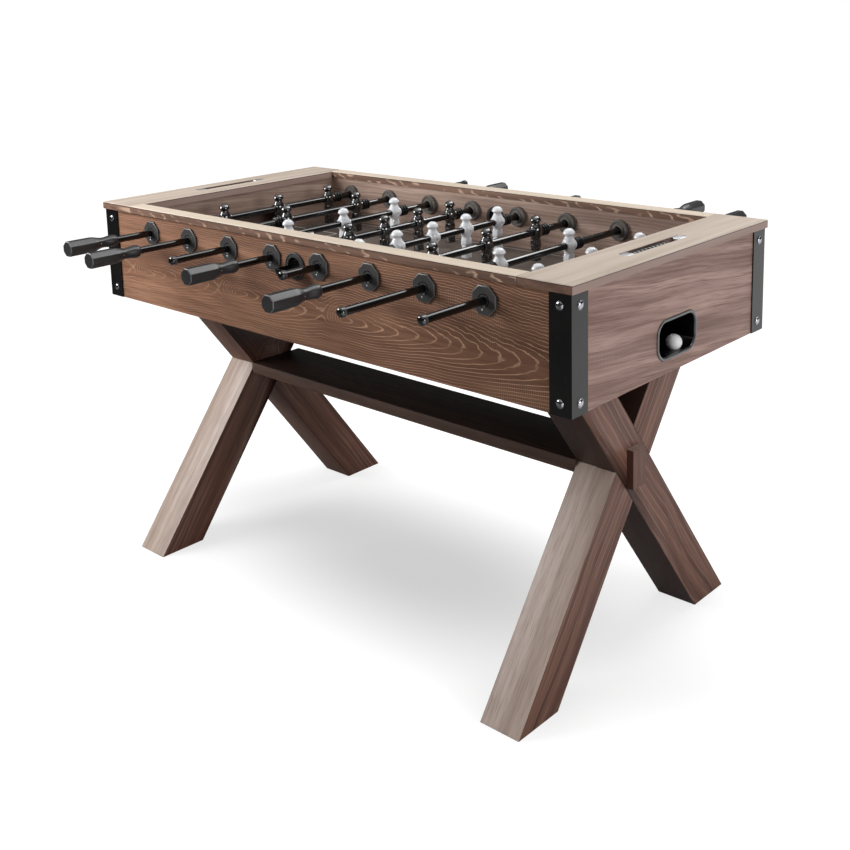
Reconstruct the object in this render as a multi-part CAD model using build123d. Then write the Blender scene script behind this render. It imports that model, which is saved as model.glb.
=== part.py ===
from build123d import *

import os
from math import atan2, cos, pi, sin

# Foosball table. Millimetres. X runs along the table, Y across it (the rods lie along Y, the front is -Y),
# Z is up, and the origin is on the floor under the middle of the table.

# Overall size
TABLE_LENGTH = 1422.0
TABLE_WIDTH = 706.0
TABLE_HEIGHT = 880.0

# Cabinet: panels under the top boards
TOP_THICKNESS = 17.0
TOP_OVERHANG = 7.0  # past the panels' outer faces
END_TOP_WIDTH = 118.0
SIDE_RAIL_WIDTH = 40.0
EDGE_CHAMFER = 1.5
CABINET_DEPTH = 221.0  # from the top boards' undersides to the lower edge
SIDE_THICKNESS = 30.0
END_THICKNESS = 22.0
BOTTOM_THICKNESS = 12.0
GOAL_WALL_THICKNESS = 15.0
GOAL_WALL_SETBACK = 4.0  # behind the end top's inner edge
GOAL_WIDTH = 240.0
GOAL_HEIGHT = 68.0
FIELD_THICKNESS = 9.0
FIELD_GROOVE = 8.0  # depth of the side panels' grooves
FIELD_SPARE = 0.5  # play at the bottom of a groove

# Corner angles and their dome screws
ANGLE_WING = 48.0
ANGLE_THICKNESS = 3.0
SCREW_HEAD_HALF = 8.6
SCREW_HEAD_HEIGHT = 4.0
SCREW_TOP_HALF = 4.6
SCREW_SHANK_HALF = 2.5
SCREW_LENGTH = 18.0
NECK_FLATS = 4  # square necks, as on coach bolts
SCREW_FROM_CORNER = 25.0
SCREW_FROM_EDGE = 23.0

# Rods and what is on them
ROD_COUNT = 8
GOAL_TO_ROD = 81.8  # goal wall to the axis of the nearest rod
ROD_DROP = 57.5  # axis below the table's top
FIELD_DROP = 136.0  # playing surface below the table's top
ROD_RADIUS = 8.0
GRIP_FIT = 0.1  # between a rod and what is fixed on it
BUMPER_FIT = 0.3  # between a rod and the rubbers that it turns in
BEARING_FIT = 0.05
CAP_RADIUS = 9.6
CAP_LENGTH = 13.0
CAP_ROUND = 3.5
TIP_REACH = 76.0  # plain end past the wall with the rod pushed right in
HANDLE_REACH = 62.0  # handle from the wall with the rod pushed right in
HANDLE_LENGTH = 127.0
HANDLE_SOCKET = 95.0
HANDLE_HALF = 17.0
HANDLE_EDGE = 3.0
GRIP_END = 59.0  # where the straight grip ends, from the rod's side
GRIP_END_HALF = 16.2
WAIST_AT = 39.0
WAIST_HALF = 11.8
BULB_AT = 15.0
BULB_HALF = 15.6
SHOULDER_AT = 4.0
SHOULDER_HALF = 13.0
NOSE_HALF = 10.2
BUMPER_LENGTH = 25.0
BUMPER_RIB = 13.5
BUMPER_GROOVE = 10.5
BUMPER_RIBS = 3
STOP_CLEARANCE = 1.0  # between a rubber and the bearing at the end of the travel
FLATS = 8  # sides of the moulded and turned pieces that repeat
BORE_FLATS = 6  # sides of the hidden bores round the rods
ROD_FLATS = 16

# One man: heights from the rod's axis, half widths of the body, and sizes of the legs along X and Y
HEAD_TOP = 38.0
HEAD_TOP_HALF = 8.0
BRIM_HEIGHT = 26.5
BRIM_HALF = 14.0
NECK_HEIGHT = 18.0
NECK_HALF = 9.8
CHEST_HEIGHT = 10.0
MAN_HALF = 16.0
CHEST_CUT = 6.0  # cut corners of the chest
HIP_HEIGHT = -18.0
HIP_HALF = 13.0
HIP_CUT = 4.0
KNEE_HEIGHT = -36.0
FOOT_HEIGHT = -68.0
HIP_SIZE = (17.0, 20.0)
KNEE_SIZE = (19.0, 23.0)
SHIN_SIZE = (14.0, 18.0)
FOOT_SIZE = (17.0, 21.0)
# slide of a rod each way from its middle, by the number of its men
ROD_SLIDE = {2: 143.0, 3: 86.0, 5: 31.0}
# men, side of the handle (-1 front, 1 back) and how far the rod stands pushed along Y
RODS = [(3, -1, 48.0), (2, -1, 69.0), (3, 1, 4.0), (5, -1, -4.0),
        (5, 1, 2.0), (3, -1, 15.0), (2, 1, -3.0), (3, 1, -11.0)]

# Rod bearings: an outer flange with a sleeve through the wall, and a round nut inside
FLANGE_HALF = 28.0
FLANGE_THICKNESS = 5.0
MOUTH_HALF = 11.5  # recess round the rod in the flange
SLEEVE_HALF = 12.5
NUT_RADIUS = 25.0
NUT_FACE = 20.0
NUT_DEPTH = 11.0

# Serve cups, one in each side
CUP_DROP = 67.5
CUP_BORE = 19.0
CUP_WALL = 3.0
CUP_FLANGE = 30.0
CUP_FLANGE_THICKNESS = 4.0
CUP_SPOUT = 34.0
CUP_RING = 27.0
CUP_FLATS = 10

# Ball pockets in the ends, their chutes and the ball
POCKET_WIDTH = 146.0
POCKET_HEIGHT = 83.0
POCKET_CORNER = 31.0
CUP_CORNER = 14.0  # cut corners of the pocket's opening and cup
POCKET_RIM = 7.0
POCKET_LIP = 4.0  # the opening's lower edge above the pocket's floor
POCKET_FLANGE = 2.5
POCKET_WALL = 2.0
POCKET_DEPTH = 40.0
POCKET_DROP = 170.5  # middle of the pocket below the table's top
CHUTE_WALL = 3.0
CHUTE_FLAT = 34.0
CHUTE_CLIMB = 34.0
BALL_RADIUS = 16.5
BALL_RINGS = 6
BALL_CLEARANCE = 0.3
BALL_INSET = 18.0  # ball's middle behind the end panel's face
BALL_ASIDE = 20.0

# Scorers in the end tops
SLOT_LENGTH = 222.0
SLOT_WIDTH = 24.0
SLOT_CORNER = 7.0
WIRE_HALF = 2.5
WIRE_DROP = 11.0
END_BLOCK = 28.0
END_BLOCK_HEIGHT = 15.0
WIRE_SEAT = 12.0
BEAD_COUNT = 10
BEAD_PITCH = 13.0
BEAD_GAP = 0.4
BEAD_SIZE = 19.0
BEAD_FIT = 0.3

# Crossed legs and the stretcher between them
LEG_WIDTH = 98.0
LEG_THICKNESS = 94.0
LEG_INSET = 102.0  # outer face of the legs behind the end of the top
FOOT_SPREAD = 321.0  # middle of a foot from the middle plane
STRETCHER_WIDTH = 46.0
STRETCHER_HEIGHT = 83.0
STRETCHER_MIDDLE = 418.0
CROSSING_RISE = 5.2  # middle of the crossing above the stretcher's
TENON_REACH = 15.0
TENON_CHAMFER = 2.0
CLEAT_THICKNESS = 18.0
BOLT_FLATS = 6
BOLT_HALF = 5.0
BOLT_LENGTH = 85.0
BOLT_HEAD_HALF = 8.5
BOLT_HEAD_HEIGHT = 6.4
BOLT_INSET = 22.0  # bolt towards the middle from a leg's top

# Levels and faces that the sizes above give
TOP_UNDER = TABLE_HEIGHT - TOP_THICKNESS
CABINET_BOTTOM = TOP_UNDER - CABINET_DEPTH
SIDE_OUT = TABLE_WIDTH / 2 - TOP_OVERHANG
SIDE_IN = SIDE_OUT - SIDE_THICKNESS
END_OUT = TABLE_LENGTH / 2 - TOP_OVERHANG
END_IN = END_OUT - END_THICKNESS
END_TOP_IN = TABLE_LENGTH / 2 - END_TOP_WIDTH
GOAL_IN = END_TOP_IN + GOAL_WALL_SETBACK
GOAL_OUT = GOAL_IN + GOAL_WALL_THICKNESS
ROD_PITCH = 2 * (GOAL_IN - GOAL_TO_ROD) / (ROD_COUNT - 1)
ROD_HEIGHT = TABLE_HEIGHT - ROD_DROP
FIELD_TOP = TABLE_HEIGHT - FIELD_DROP
FIELD_UNDER = FIELD_TOP - FIELD_THICKNESS
CUP_HEIGHT = TABLE_HEIGHT - CUP_DROP
POCKET_MIDDLE = TABLE_HEIGHT - POCKET_DROP
POCKET_FLOOR = POCKET_MIDDLE - POCKET_HEIGHT / 2 + POCKET_RIM - POCKET_LIP
SCORER_X = END_TOP_IN + END_TOP_WIDTH / 2
LEG_OUT = TABLE_LENGTH / 2 - LEG_INSET
LEG_IN = LEG_OUT - LEG_THICKNESS
CROSSING = STRETCHER_MIDDLE + CROSSING_RISE
LEG_TOP_SPREAD = FOOT_SPREAD * (CABINET_BOTTOM - CROSSING) / CROSSING

os.makedirs("parts", exist_ok=True)


# Small helpers
def block(x0, x1, y0, y1, z0, z1):
    middle = Pos((x0 + x1) / 2, (y0 + y1) / 2, (z0 + z1) / 2)
    return middle * Box(abs(x1 - x0), abs(y1 - y0), abs(z1 - z0))


def across(y):
    return Plane(origin=(0, y, 0), x_dir=(1, 0, 0), z_dir=(0, 1, 0))


def along(x):
    return Plane(origin=(x, 0, 0), x_dir=(0, 1, 0), z_dir=(1, 0, 0))


def flats(half, sides=FLATS):
    return RegularPolygon(half, sides, major_radius=False, rotation=180 / sides)


def prism(half, y0, y1, sides=FLATS):
    return extrude(across(y0) * flats(half, sides), y1 - y0)


# A flat-sided solid through rings of equally many corners
def stacked(rings):
    faces = [Face(Wire.make_polygon(rings[0])), Face(Wire.make_polygon(rings[-1]))]
    for lower, upper in zip(rings, rings[1:]):
        for here in range(len(lower)):
            after = (here + 1) % len(lower)
            faces.append(Face(Wire.make_polygon([lower[here], lower[after], upper[after], upper[here]])))
    return Part() + Solid(Shell(faces))


def corners(half, sides=FLATS):
    turns = [(2 * side + 1) * pi / sides for side in range(sides)]
    return [(half * cos(turn) / cos(pi / sides), half * sin(turn) / cos(pi / sides)) for turn in turns]


def oblong(size):
    x, y = size[0] / 2, size[1] / 2
    return [(x, y), (-x, y), (-x, -y), (x, -y)]


def cut_square(half, cut):
    short = half - cut
    upper = [(half, short), (short, half), (-short, half), (-half, short)]
    return upper + [(-x, -y) for x, y in upper]


def upright(levels):
    return stacked([[(x, y, z) for x, y in outline] for z, outline in levels])


def turned(stations, sides=FLATS):
    return stacked([[(x, y, z) for x, z in corners(half, sides)] for y, half in stations])


def both_ends(piece):
    return [piece, mirror(piece, Plane.YZ)]


def both_sides(piece):
    return [piece, mirror(piece, Plane.XZ)]


def four_corners(piece):
    return [corner for end in both_ends(piece) for corner in both_sides(end)]


def save(name, pieces):
    solids = [solid for piece in pieces for solid in piece.solids()]
    export_step(solids[0] if len(solids) == 1 else Compound(solids), f"parts/{name}.step")


# Rods
def rod_x(index):
    return (index - (ROD_COUNT - 1) / 2) * ROD_PITCH


# Middle of an outer man: with the rod slid right over, his rubber stops short of the bearing's nut
def outer_man(men):
    return SIDE_IN - NUT_DEPTH - STOP_CLEARANCE - ROD_SLIDE[men] - BUMPER_LENGTH - MAN_HALF


def make_man():
    head = [(HEAD_TOP, HEAD_TOP_HALF), (BRIM_HEIGHT, BRIM_HALF), (NECK_HEIGHT, NECK_HALF)]
    levels = [(height, corners(half)) for height, half in head]
    levels.append((CHEST_HEIGHT, cut_square(MAN_HALF, CHEST_CUT)))
    levels.append((HIP_HEIGHT, cut_square(HIP_HALF, HIP_CUT)))
    body = upright(levels)
    thigh = upright([(HIP_HEIGHT, oblong(HIP_SIZE)), (KNEE_HEIGHT, oblong(KNEE_SIZE))])
    shin = upright([(KNEE_HEIGHT, oblong(SHIN_SIZE)), (FOOT_HEIGHT, oblong(FOOT_SIZE))])
    bore = prism(ROD_RADIUS + GRIP_FIT, -2 * MAN_HALF, 2 * MAN_HALF, BORE_FLATS)
    return body + thigh + shin - bore


def make_handle():
    # from the flat outer end to the rod's side
    stations = [(0, HANDLE_HALF - HANDLE_EDGE / 2), (HANDLE_EDGE, HANDLE_HALF)]
    for from_rod, half in ((GRIP_END, GRIP_END_HALF), (WAIST_AT, WAIST_HALF), (BULB_AT, BULB_HALF),
                           (SHOULDER_AT, SHOULDER_HALF), (0, NOSE_HALF)):
        stations.append((HANDLE_LENGTH - from_rod, half))
    grip = turned(stations)
    return grip - prism(ROD_RADIUS + GRIP_FIT, HANDLE_LENGTH - HANDLE_SOCKET, HANDLE_LENGTH, BORE_FLATS)


def make_bumper():
    steps = 2 * (BUMPER_RIBS - 1)
    stations = []
    for step in range(steps + 1):
        half = BUMPER_GROOVE if step % 2 else BUMPER_RIB
        stations.append((step * BUMPER_LENGTH / steps, half))
    return turned(stations) - prism(ROD_RADIUS + BUMPER_FIT, 0, BUMPER_LENGTH, BORE_FLATS)


def make_cap():
    straight = CAP_LENGTH - CAP_ROUND
    return turned([(0, CAP_RADIUS), (straight, CAP_RADIUS), (CAP_LENGTH, CAP_RADIUS - CAP_ROUND)])


def make_rods():
    man = make_man()
    handle = make_handle()
    bumper = make_bumper()
    cap = make_cap()
    for index, (men, side, pushed) in enumerate(RODS):
        reach = SIDE_OUT + ROD_SLIDE[men]
        handle_start = reach + HANDLE_REACH
        rod_end = handle_start + HANDLE_SOCKET
        tip = reach + TIP_REACH - CAP_LENGTH
        # the rod is made with its handle at the front, and turned round for the other player
        place = Pos(rod_x(index), pushed, ROD_HEIGHT) * Rot(0, 0, 180 if side > 0 else 0)
        bar = extrude(across(-rod_end) * RegularPolygon(ROD_RADIUS, ROD_FLATS), rod_end + tip)
        outer = outer_man(men)
        men_pitch = 2 * outer / (men - 1)
        figures = [Pos(0, number * men_pitch - outer, 0) * man for number in range(men)]
        rubber = Pos(0, outer + MAN_HALF, 0) * bumper
        save(f"rod_{index + 1}", [place * bar, place * Pos(0, tip, 0) * cap])
        save(f"men_{index + 1}", [place * figure for figure in figures])
        save(f"handle_{index + 1}", [place * Pos(0, -handle_start - HANDLE_LENGTH, 0) * handle])
        save(f"bumpers_{index + 1}", [place * rubber_end for rubber_end in both_sides(rubber)])


# Rod bearings, made on the back wall and mirrored to the front
def make_bearings():
    inner_end = -SIDE_THICKNESS - NUT_DEPTH
    sleeve = prism(SLEEVE_HALF, inner_end, 0, BORE_FLATS)
    flange = prism(FLANGE_HALF, 0, FLANGE_THICKNESS) - prism(MOUTH_HALF, 0, FLANGE_THICKNESS)
    bore = prism(ROD_RADIUS + BEARING_FIT, inner_end, 0, BORE_FLATS)
    housing = sleeve + flange - bore
    nut = turned([(inner_end, NUT_FACE), (-SIDE_THICKNESS, NUT_RADIUS)])
    nut -= prism(SLEEVE_HALF, inner_end, -SIDE_THICKNESS, BORE_FLATS)
    seats = [Pos(rod_x(index), SIDE_OUT, ROD_HEIGHT) for index in range(ROD_COUNT)]
    save("bearing_housings", [piece for seat in seats for piece in both_sides(seat * housing)])
    save("bearing_nuts", [piece for seat in seats for piece in both_sides(seat * nut)])


# Cabinet panels and top boards
def make_sides():
    panel = block(-END_OUT, END_OUT, SIDE_IN, SIDE_OUT, CABINET_BOTTOM, TOP_UNDER)
    panel -= block(-GOAL_OUT, GOAL_OUT, SIDE_IN, SIDE_IN + FIELD_GROOVE, FIELD_UNDER, FIELD_TOP)
    for index in range(ROD_COUNT):
        panel -= Pos(rod_x(index), 0, ROD_HEIGHT) * prism(SLEEVE_HALF, SIDE_IN, SIDE_OUT, BORE_FLATS)
    panel -= Pos(0, 0, CUP_HEIGHT) * prism(CUP_BORE + CUP_WALL, SIDE_IN, SIDE_OUT, CUP_FLATS)
    for screw in corner_screws():
        panel -= both_ends(screw)
    back, front = both_sides(panel)
    save("back_side_panel", [back])
    save("front_side_panel", [front])
    rail_in = TABLE_WIDTH / 2 - SIDE_RAIL_WIDTH
    rail = block(-END_TOP_IN, END_TOP_IN, rail_in, TABLE_WIDTH / 2, TOP_UNDER, TABLE_HEIGHT)
    rail = chamfer(rail.faces().sort_by(Axis.Z)[-1].edges().filter_by(Axis.X), EDGE_CHAMFER)
    save("side_rails", both_sides(rail))


def cup_outline(grow, lower):
    height = POCKET_HEIGHT - 2 * (POCKET_RIM - grow) + lower
    outline = chamfer(Rectangle(POCKET_WIDTH - 2 * (POCKET_RIM - grow), height).vertices(), CUP_CORNER)
    return Pos(0, POCKET_MIDDLE - lower / 2) * outline


def slot_outline():
    return chamfer(Rectangle(SLOT_WIDTH, SLOT_LENGTH).vertices(), SLOT_CORNER)


def make_ends():
    cup_outside = cup_outline(POCKET_WALL, POCKET_LIP)
    cup_inside = cup_outline(0, POCKET_LIP)
    rim_edge = Pos(0, POCKET_MIDDLE) * RectangleRounded(POCKET_WIDTH, POCKET_HEIGHT, POCKET_CORNER)
    panel = block(END_IN, END_OUT, -SIDE_IN, SIDE_IN, CABINET_BOTTOM, TOP_UNDER)
    panel -= extrude(along(END_IN) * cup_outside, END_THICKNESS)
    right, left = both_ends(panel)
    save("right_end_panel", [right])
    save("left_end_panel", [left])

    rim = extrude(along(END_OUT) * (rim_edge - cup_outline(0, 0)), POCKET_FLANGE)
    cup = extrude(along(END_OUT - POCKET_DEPTH) * (cup_outside - cup_inside), POCKET_DEPTH)
    save("ball_pockets", both_ends(rim + cup))

    board = block(END_TOP_IN, TABLE_LENGTH / 2, -TABLE_WIDTH / 2, TABLE_WIDTH / 2, TOP_UNDER, TABLE_HEIGHT)
    board = chamfer(board.faces().sort_by(Axis.Z)[-1].edges(), EDGE_CHAMFER)
    board -= Pos(SCORER_X, 0, TOP_UNDER) * extrude(slot_outline(), TOP_THICKNESS)
    right, left = both_ends(board)
    save("right_end_top", [right])
    save("left_end_top", [left])

    wall = block(GOAL_IN, GOAL_OUT, -SIDE_IN, SIDE_IN, FIELD_TOP, TOP_UNDER)
    mouth = block(GOAL_IN, GOAL_OUT, -GOAL_WIDTH / 2, GOAL_WIDTH / 2, FIELD_TOP, FIELD_TOP + GOAL_HEIGHT)
    save("goal_walls", both_ends(wall - mouth))


def make_chutes():
    pocket_back = END_OUT - POCKET_DEPTH
    bend = pocket_back - CHUTE_FLAT
    back = GOAL_IN
    half = POCKET_WIDTH / 2 - POCKET_RIM
    floor = POCKET_FLOOR
    # the tray's side view: flat behind the pocket, a slope, then up to the playing surface's underside
    hook = back + CHUTE_WALL
    slope_top = floor + CHUTE_CLIMB
    inside = [(pocket_back, floor), (bend, floor), (hook, slope_top), (hook, FIELD_UNDER)]
    under = floor - CHUTE_WALL
    outside = [(back, FIELD_UNDER), (back, slope_top), (bend, under), (pocket_back, under)]
    tray = extrude(Plane.XZ * make_face(Polyline(*inside, *outside, close=True)), half, both=True)
    cheek_edge = Polyline(*outside, (pocket_back, FIELD_UNDER), close=True)
    cheek = Pos(0, half + CHUTE_WALL, 0) * extrude(Plane.XZ * make_face(cheek_edge), CHUTE_WALL)
    save("ball_chutes", both_ends(tray + both_sides(cheek)))


def make_field():
    edge = SIDE_IN + FIELD_GROOVE - FIELD_SPARE
    save("playfield", [block(-GOAL_OUT, GOAL_OUT, -edge, edge, FIELD_UNDER, FIELD_TOP)])
    bottom = block(-END_IN, END_IN, -SIDE_IN, SIDE_IN, CABINET_BOTTOM, CABINET_BOTTOM + BOTTOM_THICKNESS)
    for bolt in leg_bolts():
        bottom -= both_ends(bolt)
    save("bottom_panel", [bottom])


# Corner angles, screwed to the side panels' faces and ends
def corner_screws():
    x_out = END_OUT + ANGLE_THICKNESS
    y_out = SIDE_OUT + ANGLE_THICKNESS
    head = turned([(0, SCREW_HEAD_HALF), (SCREW_HEAD_HEIGHT, SCREW_TOP_HALF)])
    screw = head + prism(SCREW_SHANK_HALF, -SCREW_LENGTH, 0, NECK_FLATS)
    screws = []
    for height in (CABINET_BOTTOM + SCREW_FROM_EDGE, TOP_UNDER - SCREW_FROM_EDGE):
        screws.append(Pos(x_out - SCREW_FROM_CORNER, y_out, height) * screw)
        screws.append(Pos(x_out, y_out - SCREW_FROM_CORNER, height) * Rot(0, 0, -90) * screw)
    return screws


def make_corners():
    x_out = END_OUT + ANGLE_THICKNESS
    y_out = SIDE_OUT + ANGLE_THICKNESS
    angle = block(x_out - ANGLE_WING, x_out, SIDE_OUT, y_out, CABINET_BOTTOM, TOP_UNDER)
    angle += block(END_OUT, x_out, y_out - ANGLE_WING, y_out, CABINET_BOTTOM, TOP_UNDER)
    screws = corner_screws()
    for screw in screws:
        angle -= screw
    save("corner_angles", four_corners(angle))
    save("corner_screws", [piece for screw in screws for piece in four_corners(screw)])


# Serve cup with an open spout outside and a ring inside, made on the back wall
def make_cups():
    spout_end = CUP_FLANGE_THICKNESS + CUP_SPOUT
    body = prism(CUP_BORE + CUP_WALL, -SIDE_THICKNESS, spout_end + CUP_WALL, CUP_FLATS)
    body -= block(-CUP_FLANGE, CUP_FLANGE, CUP_FLANGE_THICKNESS, spout_end + CUP_WALL, 0, CUP_FLANGE)
    body += prism(CUP_FLANGE, 0, CUP_FLANGE_THICKNESS, CUP_FLATS)
    bore = prism(CUP_BORE, -SIDE_THICKNESS - CUP_WALL, spout_end, CUP_FLATS)
    ring = prism(CUP_RING, -SIDE_THICKNESS - CUP_WALL, -SIDE_THICKNESS, CUP_FLATS)
    seat = Pos(0, SIDE_OUT, CUP_HEIGHT)
    cups = [seat * (body - bore), seat * (ring - bore)]
    save("serve_cups", [piece for cup in cups for piece in both_sides(cup)])


# Scorers: a wire with ten blocks, held by a block in each end of the slot
def make_scorers():
    wire_height = TABLE_HEIGHT - WIRE_DROP
    clear = SLOT_LENGTH / 2 - END_BLOCK
    wire = Pos(0, 0, wire_height) * prism(WIRE_HALF, -clear - WIRE_SEAT, clear + WIRE_SEAT)
    slot = Pos(0, 0, TABLE_HEIGHT - END_BLOCK_HEIGHT) * extrude(slot_outline(), END_BLOCK_HEIGHT)
    holders = slot - block(-SLOT_WIDTH, SLOT_WIDTH, -clear, clear, TOP_UNDER, TABLE_HEIGHT) - wire
    seat = Pos(SCORER_X, 0, 0)
    save("scorer_wires", [piece for part in (wire, *holders.solids()) for piece in both_ends(seat * part)])
    bead_length = BEAD_PITCH - BEAD_GAP
    bead = extrude(across(0) * Rectangle(BEAD_SIZE, BEAD_SIZE), bead_length)
    hole = 2 * (WIRE_HALF + BEAD_FIT)
    bead -= extrude(across(0) * Rectangle(hole, hole), bead_length)
    first = Pos(SCORER_X, BEAD_GAP - clear, wire_height)
    stack = [first * Pos(0, number * BEAD_PITCH, 0) * bead for number in range(BEAD_COUNT)]
    save("right_score_beads", stack)
    save("left_score_beads", [mirror(piece, Plane.YZ) for piece in stack])


def make_ball():
    height = POCKET_FLOOR + BALL_CLEARANCE + BALL_RADIUS
    rings = []
    for ring in range(BALL_RINGS):
        turn = (ring + 0.5) * pi / BALL_RINGS
        rings.append((-BALL_RADIUS * cos(turn), BALL_RADIUS * sin(turn)))
    save("ball", [Pos(END_OUT - BALL_INSET, BALL_ASIDE, height) * turned(rings, 2 * BALL_RINGS)])


# Bolts from the cleats inside the cabinet down into the legs' tops
def leg_bolts():
    seat = CABINET_BOTTOM + BOTTOM_THICKNESS + CLEAT_THICKNESS
    bolt = extrude(flats(BOLT_HEAD_HALF, BOLT_FLATS), BOLT_HEAD_HEIGHT)
    bolt += extrude(flats(BOLT_HALF, BOLT_FLATS), -BOLT_LENGTH)
    return both_sides(Pos((LEG_OUT + LEG_IN) / 2, LEG_TOP_SPREAD - BOLT_INSET, seat) * bolt)


# Crossed legs, half lapped, with a stretcher tenoned through both crossings
def make_legs():
    lean = atan2(FOOT_SPREAD + LEG_TOP_SPREAD, CABINET_BOTTOM)
    half = LEG_WIDTH / cos(lean) / 2
    middle = (LEG_OUT + LEG_IN) / 2
    foot = [(FOOT_SPREAD - half, 0), (FOOT_SPREAD + half, 0)]
    top = [(half - LEG_TOP_SPREAD, CABINET_BOTTOM), (-half - LEG_TOP_SPREAD, CABINET_BOTTOM)]
    face = make_face(Polyline(*foot, *top, close=True))
    other = mirror(face, Plane.YZ)
    mortise = block(LEG_IN, LEG_OUT, -STRETCHER_WIDTH / 2, STRETCHER_WIDTH / 2,
                    STRETCHER_MIDDLE - STRETCHER_HEIGHT / 2, STRETCHER_MIDDLE + STRETCHER_HEIGHT / 2)
    bolts = leg_bolts()
    back_foot = extrude(along(LEG_IN) * face, LEG_THICKNESS)
    back_foot -= extrude(along(LEG_IN) * other, LEG_THICKNESS / 2)
    front_foot = extrude(along(LEG_IN) * other, LEG_THICKNESS)
    front_foot -= extrude(along(middle) * face, LEG_THICKNESS / 2)
    for name, leg in (("back_foot_leg", back_foot), ("front_foot_leg", front_foot)):
        leg -= mortise
        for bolt in bolts:
            leg -= bolt
        right, left = both_ends(leg)
        save(f"right_{name}", [right])
        save(f"left_{name}", [left])

    reach = LEG_OUT + TENON_REACH
    stretcher = block(-reach, reach, -STRETCHER_WIDTH / 2, STRETCHER_WIDTH / 2,
                      STRETCHER_MIDDLE - STRETCHER_HEIGHT / 2, STRETCHER_MIDDLE + STRETCHER_HEIGHT / 2)
    ends = stretcher.faces().sort_by(Axis.X)
    save("stretcher", [chamfer(ends[0].edges() + ends[-1].edges(), TENON_CHAMFER)])

    cleat_bottom = CABINET_BOTTOM + BOTTOM_THICKNESS
    cleat = block(LEG_IN, LEG_OUT, -SIDE_IN, SIDE_IN, cleat_bottom, cleat_bottom + CLEAT_THICKNESS)
    for bolt in bolts:
        cleat -= bolt
    save("leg_cleats", both_ends(cleat))
    save("leg_bolts", [piece for bolt in bolts for piece in both_ends(bolt)])


make_rods()
make_bearings()
make_sides()
make_ends()
make_chutes()
make_field()
make_corners()
make_cups()
make_scorers()
make_ball()
make_legs()
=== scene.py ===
from math import cos, pi, radians, sin, sqrt

import bmesh
import bpy
from mathutils import Matrix, Vector


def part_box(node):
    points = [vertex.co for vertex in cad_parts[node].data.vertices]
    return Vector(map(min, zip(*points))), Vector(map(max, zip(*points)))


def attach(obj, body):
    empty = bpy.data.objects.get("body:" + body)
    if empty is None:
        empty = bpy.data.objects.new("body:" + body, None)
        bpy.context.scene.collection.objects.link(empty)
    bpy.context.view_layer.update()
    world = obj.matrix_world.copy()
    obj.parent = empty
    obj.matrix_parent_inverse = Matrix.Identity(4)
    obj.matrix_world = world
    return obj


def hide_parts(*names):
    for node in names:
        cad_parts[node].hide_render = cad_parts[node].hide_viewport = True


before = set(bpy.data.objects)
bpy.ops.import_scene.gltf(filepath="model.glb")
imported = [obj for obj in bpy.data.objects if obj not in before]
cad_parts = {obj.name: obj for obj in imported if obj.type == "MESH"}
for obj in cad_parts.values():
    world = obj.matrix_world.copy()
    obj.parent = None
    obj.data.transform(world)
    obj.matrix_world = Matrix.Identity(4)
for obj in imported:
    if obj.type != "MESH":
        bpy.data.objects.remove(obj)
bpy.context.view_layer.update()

mm = 0.001
acrossTable = Vector((0, 1, 0))
alongTable = Vector((1, 0, 0))
upward = Vector((0, 0, 1))
print("frame loaded:", len(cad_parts), "nodes")


# Shader values, so that node maths reads as plain arithmetic
class Wire:
    def __init__(self, tree, socket):
        self.tree = tree
        self.socket = socket

    def node(self, kind, settings, sockets, out=0):
        made = self.tree.nodes.new("ShaderNode" + kind)
        for name, value in settings.items():
            setattr(made, name, value)
        for name, value in sockets.items():
            if isinstance(value, Wire):
                self.tree.links.new(value.socket, made.inputs[name])
            else:
                made.inputs[name].default_value = value
        return Wire(self.tree, made.outputs[out])

    def maths(self, operation, *values):
        return self.node("Math", {"operation": operation}, dict(enumerate(values)))

    def __add__(self, other):
        return self.maths("ADD", self, other)

    def __radd__(self, other):
        return self.maths("ADD", other, self)

    def __sub__(self, other):
        return self.maths("SUBTRACT", self, other)

    def __rsub__(self, other):
        return self.maths("SUBTRACT", other, self)

    def __mul__(self, other):
        return self.maths("MULTIPLY", self, other)

    def __rmul__(self, other):
        return self.maths("MULTIPLY", other, self)

    def __truediv__(self, other):
        return self.maths("DIVIDE", self, other)

    def __abs__(self):
        return self.maths("ABSOLUTE", self)

    def fract(self):
        return self.maths("FRACT", self)

    def root(self):
        return self.maths("SQRT", self)

    def exp(self):
        return self.maths("EXPONENT", self)

    def sine(self):
        return self.maths("SINE", self)

    def larger(self, other):
        return self.maths("MAXIMUM", self, other)

    def below(self, limit):
        return self.maths("LESS_THAN", self, limit)

    def rise(self, low, high):
        # 0 below low, 1 above high, smooth between
        return self.node("MapRange", {"interpolation_type": "SMOOTHSTEP"},
                         {"Value": self, "From Min": low, "From Max": high})

    def band(self, low, full, fade, high):
        # 0 below low, 1 from full to fade, 0 above high
        return self.rise(low, full) * (1.0 - self.rise(fade, high))

    def parts(self):
        return [self.node("SeparateXYZ", {}, {0: self}, out) for out in range(3)]

    def vector(self, x, y, z):
        return self.node("CombineXYZ", {}, {0: x, 1: y, 2: z})

    def noise(self, spot, scales, detail=2.0, rough=0.5):
        # spot is three wires, each with its own scale
        scaled = [value * scale for value, scale in zip(spot, scales)]
        return self.node("TexNoise", {}, {"Vector": self.vector(*scaled), "Scale": 1.0, "Detail": detail,
                                          "Roughness": rough}, "Fac")

    def mix(self, first, second, factor):
        return self.node("Mix", {"data_type": "RGBA"}, {0: factor, 6: first, 7: second}, 2)


def reachOf(u, v):
    return (u * u + v * v).root()


def bell(u, v):
    # 1 in the middle, fading to nothing outwards
    return (0.0 - u * u - v * v).exp()


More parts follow.
